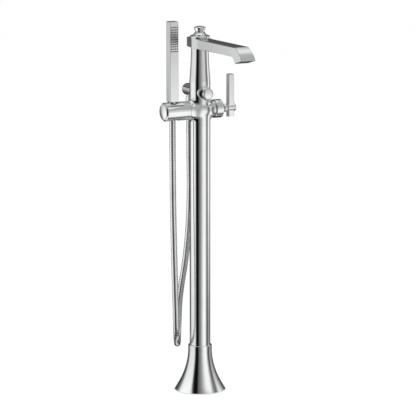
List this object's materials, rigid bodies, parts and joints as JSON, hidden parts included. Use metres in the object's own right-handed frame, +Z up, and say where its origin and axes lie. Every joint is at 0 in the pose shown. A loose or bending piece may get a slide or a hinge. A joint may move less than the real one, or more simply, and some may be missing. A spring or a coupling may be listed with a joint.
{
  "type": "tub filler",
  "caption": "Floor-standing bath mixer on a round column with a flared foot, bar spout with finial, side lever, diverter, and a square stick hand shower on a ribbed hose.",
  "frame": {"origin": "column axis at the floor, centre of the floor bolt circle", "axes": "+Z up the column; -Y along the spout; -X towards the hand shower; +X towards the lever"},
  "size_m": [0.2025, 0.3475, 0.9307],
  "materials": {
    "chrome": "polished",
    "brass": "machined",
    "steel": "machined",
    "rubber": "matte",
    "nozzle_rubber": "matte",
    "acetal": "satin",
    "dark_plastic": "satin",
    "ceramic": "lapped"
  },
  "bodies": {
    "stand": {"base_cover": "chrome", "column_tube": "chrome", "column_ring": "chrome", "valve_body": "chrome", "valve_bonnet": "chrome", "diverter_bonnet": "chrome", "upper_post": "chrome", "finial": "chrome", "cradle_arm": "chrome", "arm_end_cap": "chrome", "outlet_elbow": "chrome", "hose_nut_elbow": "chrome", "shower_hose": "chrome", "mounting_plate": "brass", "hot_supply_tube": "brass", "cold_supply_tube": "brass", "arm_stud": "brass", "cartridge_nut": "brass", "column_set_screws": "steel", "floor_gasket": "rubber", "base_seal_ring": "rubber", "supply_tube_seals": "rubber", "cartridge_gasket": "rubber", "post_seals": "rubber", "arm_cap_seal": "rubber", "elbow_seal": "rubber", "hose_washer_elbow": "rubber", "cartridge_housing": "acetal", "diverter_cartridge": "acetal", "swivel_washer": "acetal", "finial_washer": "acetal", "cradle_bushing": "dark_plastic", "fixed_disc": "ceramic"},
    "spout_arm": {"spout": "chrome", "stream_former": "dark_plastic"},
    "mixer_carrier": {"cartridge_carrier": "acetal", "lever_pivot_pin": "steel", "moving_disc": "ceramic"},
    "lever": {"lever_stem": "chrome", "stem_dome": "chrome", "lever_handle": "chrome", "lever_set_screw": "steel"},
    "diverter": {"diverter_stem": "brass", "diverter_knob": "chrome", "diverter_set_screw": "steel"},
    "hose_end": {"hose_nut_handset": "chrome", "hose_washer_handset": "rubber"},
    "handset": {"handset_body": "chrome", "handset_inlet": "chrome", "nozzle_mat": "nozzle_rubber"}
  },
  "joints": [
    {"name": "spout_swivel", "type": "hinge", "parent": "stand", "child": "spout_arm", "pos_m": [0, 0, 0.874], "axis": [0, 0, 1], "range_deg": [-45, 45]},
    {"name": "lever_temperature", "type": "hinge", "parent": "stand", "child": "mixer_carrier", "pos_m": [0.043, 0, 0.7085], "axis": [1, 0, 0], "range_deg": [-45, 45]},
    {"name": "lever_flow", "type": "hinge", "parent": "mixer_carrier", "child": "lever", "pos_m": [0.043, 0, 0.7085], "axis": [0, 1, 0], "range_deg": [0, 20]},
    {"name": "diverter_turn", "type": "hinge", "parent": "stand", "child": "diverter", "pos_m": [0, -0.045, 0.7523], "axis": [0, 1, 0], "range_deg": [0, 90]},
    {"name": "handset_lift", "type": "slide", "parent": "stand", "child": "hose_end", "axis": [0, 0, 1], "range_m": [0, 0.11]},
    {"name": "handset_turn", "type": "hinge", "parent": "hose_end", "child": "handset", "pos_m": [-0.0757, 0, 0.7331], "axis": [0, 0, 1], "continuous": true}
  ]
}
